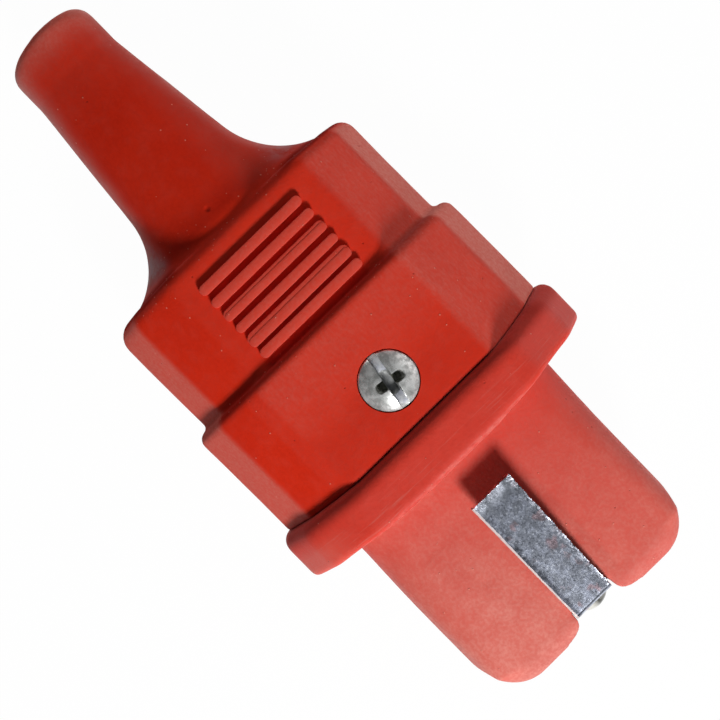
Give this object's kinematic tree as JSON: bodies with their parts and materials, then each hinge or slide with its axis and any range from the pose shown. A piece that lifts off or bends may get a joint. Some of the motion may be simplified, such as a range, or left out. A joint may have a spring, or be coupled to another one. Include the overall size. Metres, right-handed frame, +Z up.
{
  "type": "silicone power plug",
  "caption": "Red silicone rubber power connector with a tapered cord boot, ribbed grip, flange and two-lobed nose with round contact sockets and a sprung earth strip.",
  "frame": {"origin": "middle of the plug's box, on its axis", "axes": "+X along the plug towards its nose, +Z up through the face with the cover screw"},
  "size_m": [0.1036, 0.0488, 0.0292],
  "materials": {
    "cover_silicone": "matte moulded silicone rubber",
    "insert_silicone": "matte moulded silicone rubber",
    "tinned_steel": "sheared tinned steel strip",
    "plated_steel": "nickel plated steel",
    "spring_steel": "bright spring steel",
    "contact_brass": "turned brass"
  },
  "bodies": {
    "root": {"rear_cover": "cover_silicone", "nose_insert": "insert_silicone", "earth_clip": "tinned_steel", "earth_bolt": "plated_steel", "earth_washer": "spring_steel", "earth_block": "contact_brass", "earth_wire_screw": "plated_steel", "contact_left": "contact_brass", "contact_right": "contact_brass", "contact_spring_left": "spring_steel", "contact_spring_right": "spring_steel", "wire_screw_left": "plated_steel", "wire_screw_right": "plated_steel", "cover_screw": "plated_steel"}
  },
  "joints": []
}
